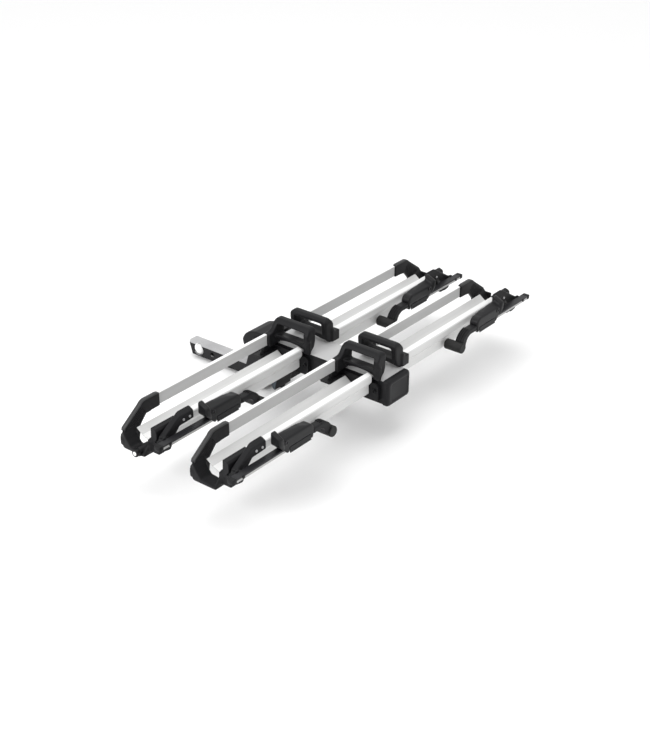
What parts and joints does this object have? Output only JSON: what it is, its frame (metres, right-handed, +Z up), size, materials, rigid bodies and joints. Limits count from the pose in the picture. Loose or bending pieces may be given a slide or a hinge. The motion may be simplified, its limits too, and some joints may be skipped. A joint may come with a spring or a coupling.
{
  "type": "platform bicycle carrier for a hitch receiver",
  "caption": "Platform bicycle carrier for a square hitch receiver: folding centre spine, railed trays with end cradles, loop handles and sliding hooked wheel arms.",
  "frame": {"origin": "centre of the hitch-pin hole in the shank", "axes": "X along the trays, +Y towards the vehicle, +Z up; trays level, wheel arms folded down"},
  "size_m": [1.58, 0.9155, 0.2937],
  "materials": {
    "silver_aluminium": "satin anodised",
    "black_plastic": "fine grain",
    "handle_plastic": "smooth satin",
    "trigger_plastic": "satin",
    "pad_rubber": "matt",
    "grey_plate": "matt grey",
    "black_steel": "powder coat, semi-gloss",
    "white_plastic": "smooth",
    "plain_steel": "zinc plated"
  },
  "bodies": {
    "hitch": {"shank": "black_steel", "cheek_bracket": "black_steel", "tilt_bolt": "plain_steel", "lock_disc": "plain_steel"},
    "rack": {"spine": "black_steel", "spine_top_plate": "grey_plate", "spine_end_cap": "black_plastic", "tilt_cover": "black_plastic", "pedal_pin": "plain_steel", "saddles_inner": "black_steel", "saddles_outer": "black_steel", "saddle_bolts": "plain_steel", "arm_hinge_pins": "plain_steel", "cradle_screws": "black_plastic", "rear_rail_inner_left": "silver_aluminium", "front_rail_inner_left": "silver_aluminium", "hoop_inner_left": "black_plastic", "cradle_inner_left": "black_plastic", "rear_rail_inner_right": "silver_aluminium", "front_rail_inner_right": "silver_aluminium", "hoop_inner_right": "black_plastic", "cradle_inner_right": "black_plastic", "rear_rail_outer_left": "silver_aluminium", "front_rail_outer_left": "silver_aluminium", "hoop_outer_left": "black_plastic", "cradle_outer_left": "black_plastic", "rear_rail_outer_right": "silver_aluminium", "front_rail_outer_right": "silver_aluminium", "hoop_outer_right": "black_plastic", "cradle_outer_right": "black_plastic"},
    "draw_rod": {"draw_rod_and_knob": "black_plastic"},
    "ball": {"hitch_ball": "white_plastic"},
    "pedal": {"release_pedal": "black_plastic"},
    "latch": {"latch_bar": "plain_steel"},
    "lock": {"lock_barrel": "plain_steel"},
    "arm_inner_left": {"arm_bar_inner_left": "silver_aluminium", "end_plug_inner_left": "handle_plastic"},
    "handle_inner_left": {"slider_inner_left": "handle_plastic", "hook_inner_left": "black_plastic", "pad_inner_left": "pad_rubber"},
    "trigger_inner_left": {"trigger_inner_left": "trigger_plastic"},
    "arm_inner_right": {"arm_bar_inner_right": "silver_aluminium", "end_plug_inner_right": "handle_plastic"},
    "handle_inner_right": {"slider_inner_right": "handle_plastic", "hook_inner_right": "black_plastic", "pad_inner_right": "pad_rubber"},
    "trigger_inner_right": {"trigger_inner_right": "trigger_plastic"},
    "arm_outer_left": {"arm_bar_outer_left": "silver_aluminium", "end_plug_outer_left": "handle_plastic"},
    "handle_outer_left": {"slider_outer_left": "handle_plastic", "hook_outer_left": "black_plastic", "pad_outer_left": "pad_rubber"},
    "trigger_outer_left": {"trigger_outer_left": "trigger_plastic"},
    "arm_outer_right": {"arm_bar_outer_right": "silver_aluminium", "end_plug_outer_right": "handle_plastic"},
    "handle_outer_right": {"slider_outer_right": "handle_plastic", "hook_outer_right": "black_plastic", "pad_outer_right": "pad_rubber"},
    "trigger_outer_right": {"trigger_outer_right": "trigger_plastic"}
  },
  "joints": [
    {"name": "rack_tilt", "type": "hinge", "parent": "hitch", "child": "rack", "pos_m": [0, -0.245, 0.122], "axis": [-1, 0, 0], "range_deg": [-33, 90]},
    {"name": "knob_turn", "type": "hinge", "parent": "hitch", "child": "draw_rod", "pos_m": [0, -0.27, -0.014], "axis": [0, 1, 0], "range_deg": [0, 180]},
    {"name": "ball_out", "type": "slide", "parent": "hitch", "child": "ball", "axis": [-1, 0, 0], "range_m": [0, 0.004]},
    {"name": "pedal_press", "type": "hinge", "parent": "rack", "child": "pedal", "pos_m": [0, -0.378, 0.061], "axis": [1, 0, 0], "range_deg": [0, 15], "stiffness_Nm_per_rad": 6, "springref_deg": -8.59},
    {"name": "latch_draw", "type": "slide", "parent": "rack", "child": "latch", "axis": [0, -1, 0], "range_m": [0, 0.0166]},
    {"name": "lock_turn", "type": "hinge", "parent": "rack", "child": "lock", "pos_m": [-0.78, -0.3975, 0.108], "axis": [-1, 0, 0], "range_deg": [0, 90]},
    {"name": "arm_fold_inner_left", "type": "hinge", "parent": "rack", "child": "arm_inner_left", "pos_m": [-0.745, -0.4965, 0.1635], "axis": [0, -1, 0], "range_deg": [0, 105]},
    {"name": "handle_slide_inner_left", "type": "slide", "parent": "arm_inner_left", "child": "handle_inner_left", "axis": [1, 0, 0], "range_m": [0, 0.1]},
    {"name": "trigger_squeeze_inner_left", "type": "hinge", "parent": "handle_inner_left", "child": "trigger_inner_left", "pos_m": [-0.502, -0.5133, 0.17], "axis": [1, 0, 0], "range_deg": [0, 4], "stiffness_Nm_per_rad": 0.6, "springref_deg": -4.01},
    {"name": "arm_fold_inner_right", "type": "hinge", "parent": "rack", "child": "arm_inner_right", "pos_m": [0.745, -0.4965, 0.1635], "axis": [0, 1, 0], "range_deg": [0, 105]},
    {"name": "handle_slide_inner_right", "type": "slide", "parent": "arm_inner_right", "child": "handle_inner_right", "axis": [-1, 0, 0], "range_m": [0, 0.1]},
    {"name": "trigger_squeeze_inner_right", "type": "hinge", "parent": "handle_inner_right", "child": "trigger_inner_right", "pos_m": [0.502, -0.5133, 0.17], "axis": [1, 0, 0], "range_deg": [0, 4], "stiffness_Nm_per_rad": 0.6, "springref_deg": -4.01},
    {"name": "arm_fold_outer_left", "type": "hinge", "parent": "rack", "child": "arm_outer_left", "pos_m": [-0.745, -0.7815, 0.1635], "axis": [0, -1, 0], "range_deg": [0, 105]},
    {"name": "handle_slide_outer_left", "type": "slide", "parent": "arm_outer_left", "child": "handle_outer_left", "axis": [1, 0, 0], "range_m": [0, 0.1]},
    {"name": "trigger_squeeze_outer_left", "type": "hinge", "parent": "handle_outer_left", "child": "trigger_outer_left", "pos_m": [-0.502, -0.7983, 0.17], "axis": [1, 0, 0], "range_deg": [0, 4], "stiffness_Nm_per_rad": 0.6, "springref_deg": -4.01},
    {"name": "arm_fold_outer_right", "type": "hinge", "parent": "rack", "child": "arm_outer_right", "pos_m": [0.745, -0.7815, 0.1635], "axis": [0, 1, 0], "range_deg": [0, 105]},
    {"name": "handle_slide_outer_right", "type": "slide", "parent": "arm_outer_right", "child": "handle_outer_right", "axis": [-1, 0, 0], "range_m": [0, 0.1]},
    {"name": "trigger_squeeze_outer_right", "type": "hinge", "parent": "handle_outer_right", "child": "trigger_outer_right", "pos_m": [0.502, -0.7983, 0.17], "axis": [1, 0, 0], "range_deg": [0, 4], "stiffness_Nm_per_rad": 0.6, "springref_deg": -4.01}
  ],
  "couplings": [
    {"joint": "ball_out", "follows": "knob_turn", "m_per_rad": 0.0012732},
    {"joint": "latch_draw", "follows": "pedal_press", "m_per_rad": 0.063}
  ]
}
